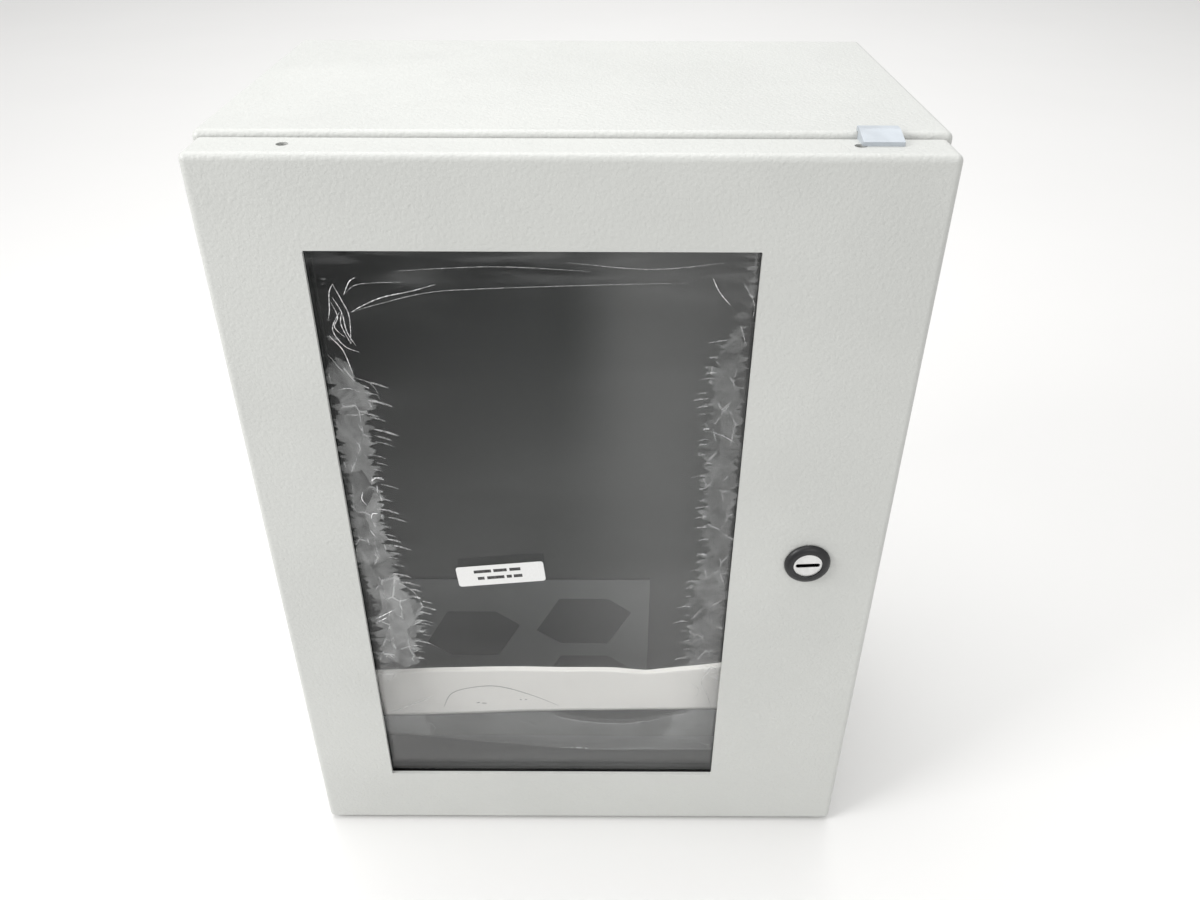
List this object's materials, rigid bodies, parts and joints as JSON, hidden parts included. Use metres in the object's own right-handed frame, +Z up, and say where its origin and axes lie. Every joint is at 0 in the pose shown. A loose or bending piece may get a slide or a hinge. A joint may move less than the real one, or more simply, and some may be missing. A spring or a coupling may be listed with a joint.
{
  "type": "fire alarm control panel",
  "caption": "Wall-mounted fire alarm control panel in a light grey steel cabinet with a windowed, latched door over a dark inner panel.",
  "frame": {"origin": "middle of the bounding box's bottom face: on the cabinet's underside, midway left to right and front to back", "axes": "+X to the right as seen from the front, +Y from the door back to the wall, +Z up"},
  "size_m": [0.3092, 0.2062, 0.4129],
  "materials": {
    "grey_powder_coat": "light grey textured powder coat",
    "white_powder_coat": "white powder coat",
    "charcoal_powder_coat": "dark grey powder coat, satin",
    "black_steel": "black powder coat",
    "zinc_plate": "bright zinc plate",
    "stainless_steel": "turned stainless steel",
    "nickel_plate": "satin nickel on die-cast zinc",
    "brass_plate": "turned brass",
    "lamination_steel": "varnished steel laminations",
    "black_rubber": "moulded rubber",
    "black_foam": "closed-cell foam",
    "clear_polycarbonate": "clear polycarbonate sheet, glossy",
    "clear_film": "thin protective film, wrinkled at its edges",
    "label_paper": "white label stock",
    "grey_plastic": "moulded light grey plastic",
    "black_plastic": "moulded black plastic",
    "charcoal_plastic": "moulded dark grey plastic",
    "display_glass": "smoked display window",
    "amber_lens": "tinted lamp lens",
    "grey_button": "moulded grey button",
    "red_button": "moulded red button",
    "circuit_board": "solder-masked glass fibre board",
    "battery_case": "moulded battery case",
    "coil_tape": "yellow insulating tape",
    "green_plastic": "moulded green plastic",
    "relay_case": "moulded blue relay case",
    "component_case": "black component body",
    "clear_bag": "clear polythene bag",
    "leaflet_paper": "white printed leaflet"
  },
  "bodies": {
    "cabinet": {"battery_band": "zinc_plate", "battery_shelf": "zinc_plate", "board_components": "component_case", "board_screws": "zinc_plate", "board_standoffs": "brass_plate", "button_switches": "black_plastic", "cabinet_body": "grey_powder_coat", "display_module": "black_plastic", "display_window": "display_glass", "dress_pan": "charcoal_powder_coat", "entry_plate": "grey_powder_coat", "entry_plugs": "black_rubber", "entry_screws": "zinc_plate", "entry_seal": "black_rubber", "fuse_holders": "black_plastic", "hinge_bracket_screws": "zinc_plate", "hinge_brackets": "zinc_plate", "hinge_pins": "stainless_steel", "indicator_lenses": "amber_lens", "instruction_sheet": "leaflet_paper", "literature_bag": "clear_bag", "main_board": "circuit_board", "module_cover": "charcoal_plastic", "operator_board": "circuit_board", "operator_fascia": "charcoal_plastic", "pan_screws": "zinc_plate", "panel_nuts": "zinc_plate", "panel_studs": "zinc_plate", "relays": "relay_case", "sounder": "black_plastic", "standby_battery_left": "battery_case", "standby_battery_right": "battery_case", "sub_panel": "white_powder_coat", "terminal_blocks": "green_plastic", "transformer_coil": "coil_tape", "transformer_core": "lamination_steel"},
    "door": {"door_panel": "grey_powder_coat", "door_gasket": "black_foam", "window_seal": "black_foam", "window_pane": "clear_polycarbonate", "protective_film": "clear_film", "window_label": "label_paper", "window_retainer": "black_steel", "retainer_studs": "zinc_plate", "retainer_nuts": "zinc_plate", "door_clip": "grey_plastic", "hinge_leaves": "zinc_plate", "latch_seal": "black_rubber", "latch_housing": "black_plastic", "latch_nut": "zinc_plate"},
    "latch": {"latch_core": "nickel_plate", "latch_cam": "zinc_plate", "latch_washer": "zinc_plate", "latch_screw": "zinc_plate"},
    "button_acknowledge": {"button_acknowledge": "grey_button"},
    "button_silence": {"button_silence": "grey_button"},
    "button_reset": {"button_reset": "red_button"},
    "button_test": {"button_test": "grey_button"}
  },
  "joints": [
    {"name": "door_swing", "type": "hinge", "parent": "cabinet", "child": "door", "pos_m": [-0.1459, -0.0931, 0.2054], "axis": [0, 0, -1], "range_deg": [0, 115]},
    {"name": "latch_turn", "type": "hinge", "parent": "door", "child": "latch", "pos_m": [0.1151, -0.1001, 0.2054], "axis": [0, -1, 0], "range_deg": [0, 90]},
    {"name": "acknowledge_press", "type": "slide", "parent": "cabinet", "child": "button_acknowledge", "axis": [0, 1, 0], "range_m": [0, 0.0012], "stiffness_N_per_m": 400, "springref_m": -0.001},
    {"name": "silence_press", "type": "slide", "parent": "cabinet", "child": "button_silence", "axis": [0, 1, 0], "range_m": [0, 0.0012], "stiffness_N_per_m": 400, "springref_m": -0.001},
    {"name": "reset_press", "type": "slide", "parent": "cabinet", "child": "button_reset", "axis": [0, 1, 0], "range_m": [0, 0.0012], "stiffness_N_per_m": 400, "springref_m": -0.001},
    {"name": "test_press", "type": "slide", "parent": "cabinet", "child": "button_test", "axis": [0, 1, 0], "range_m": [0, 0.0012], "stiffness_N_per_m": 400, "springref_m": -0.001}
  ]
}
